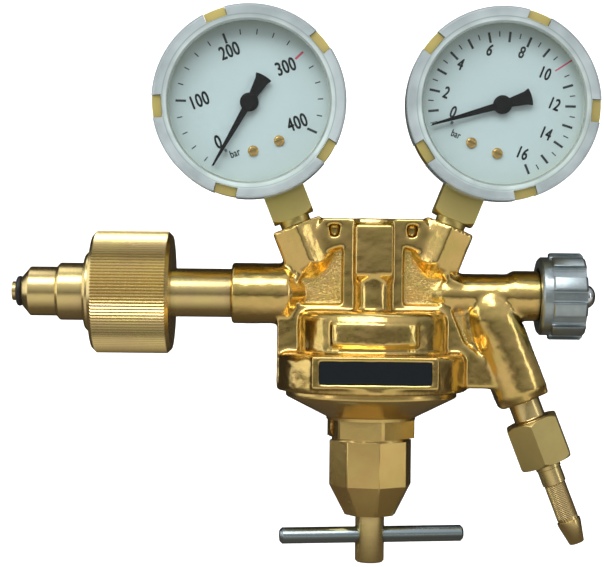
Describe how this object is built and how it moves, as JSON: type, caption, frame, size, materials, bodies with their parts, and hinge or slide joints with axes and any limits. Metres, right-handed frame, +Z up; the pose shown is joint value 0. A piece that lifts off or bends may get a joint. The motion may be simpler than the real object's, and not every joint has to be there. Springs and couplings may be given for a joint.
{
  "type": "gas pressure regulator",
  "caption": "Cylinder gas pressure regulator: knurled inlet union, forged body with diaphragm housing, pressure gauges, adjusting screw, outlet shut-off valve and hose nipple.",
  "frame": {"origin": "on the inlet axis, at the step behind the nose that enters the cylinder valve", "axes": "+X along the inlet axis towards the outlet valve, +Y away from the gauges' faces, +Z up"},
  "size_m": [0.1966, 0.0638, 0.1849],
  "materials": {
    "forged_brass": "shot-blasted forging",
    "turned_brass": "turned, bright",
    "knurled_brass": "straight knurl",
    "gauge_brass": "drawn, matt",
    "sintered_bronze": "porous",
    "copper": "plain",
    "bright_steel": "drawn, zinc plated",
    "spring_steel": "oiled wire",
    "grey_metal": "die-cast, tumbled",
    "chrome_cap": "polished",
    "rubber_black": "moulded",
    "nylon": "turned",
    "clear_window": "moulded, clear",
    "dial_enamel": "satin",
    "pointer_black": "satin",
    "label_black": "gloss"
  },
  "bodies": {
    "root": {"bonnet": "turned_brass", "diaphragm": "rubber_black", "diaphragm_slip_washer": "nylon", "high_gauge_blowout_plug": "rubber_black", "high_gauge_bourdon_tube": "gauge_brass", "high_gauge_case": "gauge_brass", "high_gauge_dial": "dial_enamel", "high_gauge_dial_screws": "turned_brass", "high_gauge_movement_frame": "turned_brass", "high_gauge_seal_washer": "copper", "high_gauge_socket": "gauge_brass", "high_gauge_stop_pin": "turned_brass", "high_gauge_tube_tip": "gauge_brass", "high_gauge_window": "clear_window", "hose_nipple": "turned_brass", "hose_union_nut": "turned_brass", "inlet_filter": "sintered_bronze", "inlet_o_ring": "rubber_black", "inlet_stem": "turned_brass", "label_plate": "label_black", "low_gauge_blowout_plug": "rubber_black", "low_gauge_bourdon_tube": "gauge_brass", "low_gauge_case": "gauge_brass", "low_gauge_dial": "dial_enamel", "low_gauge_dial_screws": "turned_brass", "low_gauge_movement_frame": "turned_brass", "low_gauge_seal_washer": "copper", "low_gauge_socket": "gauge_brass", "low_gauge_stop_pin": "turned_brass", "low_gauge_tube_tip": "gauge_brass", "low_gauge_window": "clear_window", "outlet_adapter": "turned_brass", "poppet_spring": "spring_steel", "range_spring": "spring_steel", "regulator_body": "forged_brass", "shutoff_gland": "turned_brass", "shutoff_packing": "nylon", "stem_seal_washer": "copper", "valve_nozzle": "turned_brass"},
    "coupling_carrier": {"coupling_slip_ring": "turned_brass"},
    "coupling_nut": {"coupling_nut": "knurled_brass"},
    "spring_carrier": {"lower_spring_plate": "turned_brass"},
    "adjuster": {"adjusting_screw": "turned_brass", "tee_bar": "bright_steel"},
    "valve_train": {"upper_spring_plate": "turned_brass", "diaphragm_disc": "turned_brass", "valve_pin": "bright_steel", "valve_poppet": "turned_brass", "poppet_pad": "nylon"},
    "shutoff_carrier": {"shutoff_disc": "turned_brass", "shutoff_seat_pad": "nylon"},
    "handwheel": {"shutoff_spindle": "turned_brass", "shutoff_handwheel": "grey_metal", "handwheel_cap": "chrome_cap"},
    "high_sector": {"high_gauge_sector_gear": "turned_brass"},
    "high_pointer": {"high_gauge_pointer": "pointer_black"},
    "high_link": {"high_gauge_link": "turned_brass"},
    "low_sector": {"low_gauge_sector_gear": "turned_brass"},
    "low_pointer": {"low_gauge_pointer": "pointer_black"},
    "low_link": {"low_gauge_link": "turned_brass"}
  },
  "joints": [
    {"name": "coupling_slide", "type": "slide", "parent": "root", "child": "coupling_carrier", "axis": [1, 0, 0], "range_m": [-0.016, 0.0195]},
    {"name": "coupling_spin", "type": "hinge", "parent": "coupling_carrier", "child": "coupling_nut", "pos_m": [0.02535, 0, 0], "axis": [1, 0, 0], "continuous": true},
    {"name": "adjuster_travel", "type": "slide", "parent": "root", "child": "spring_carrier", "axis": [0, 0, 1], "range_m": [-0.00901, 0.00201], "deforming": ["range_spring"]},
    {"name": "adjuster_spin", "type": "hinge", "parent": "spring_carrier", "child": "adjuster", "pos_m": [0.106, 0, -0.081], "axis": [0, 0, 1], "range_deg": [-2160, 480]},
    {"name": "valve_lift", "type": "slide", "parent": "root", "child": "valve_train", "axis": [0, 0, 1], "range_m": [0, 0.0008], "stiffness_N_per_m": 1500, "springref_m": -0.001, "deforming": ["poppet_spring", "diaphragm"]},
    {"name": "shutoff_travel", "type": "slide", "parent": "root", "child": "shutoff_carrier", "axis": [1, 0, 0], "range_m": [0, 0.00301]},
    {"name": "shutoff_spin", "type": "hinge", "parent": "shutoff_carrier", "child": "handwheel", "pos_m": [0.16935, 0, 0], "axis": [1, 0, 0], "range_deg": [0, 720]},
    {"name": "high_sector_turn", "type": "hinge", "parent": "root", "child": "high_sector", "pos_m": [0.07028, 0, 0.04809], "axis": [0, 1, 0], "range_deg": [-37.5, 0]},
    {"name": "high_pointer_turn", "type": "hinge", "parent": "root", "child": "high_pointer", "pos_m": [0.06434, 0, 0.06295], "axis": [0, 1, 0], "range_deg": [0, 262.51]},
    {"name": "high_link_turn", "type": "hinge", "parent": "high_sector", "child": "high_link", "pos_m": [0.06239, 0, 0.04493], "axis": [0, 1, 0], "range_deg": [0, 46]},
    {"name": "low_sector_turn", "type": "hinge", "parent": "root", "child": "low_sector", "pos_m": [0.14172, 0, 0.04809], "axis": [0, 1, 0], "range_deg": [-37.5, 0]},
    {"name": "low_pointer_turn", "type": "hinge", "parent": "root", "child": "low_pointer", "pos_m": [0.14766, 0, 0.06295], "axis": [0, 1, 0], "range_deg": [0, 262.51]},
    {"name": "low_link_turn", "type": "hinge", "parent": "low_sector", "child": "low_link", "pos_m": [0.13382, 0, 0.05125], "axis": [0, 1, 0], "range_deg": [0, 46]}
  ],
  "couplings": [
    {"joint": "adjuster_travel", "follows": "adjuster_spin", "m_per_rad": 0.00023873},
    {"joint": "shutoff_travel", "follows": "shutoff_spin", "m_per_rad": 0.00023873},
    {"joint": "high_pointer_turn", "follows": "high_sector_turn", "ratio": -7},
    {"joint": "high_link_turn", "follows": "high_sector_turn", "ratio": -1.2048},
    {"joint": "low_pointer_turn", "follows": "low_sector_turn", "ratio": -7},
    {"joint": "low_link_turn", "follows": "low_sector_turn", "ratio": -1.2048}
  ]
}
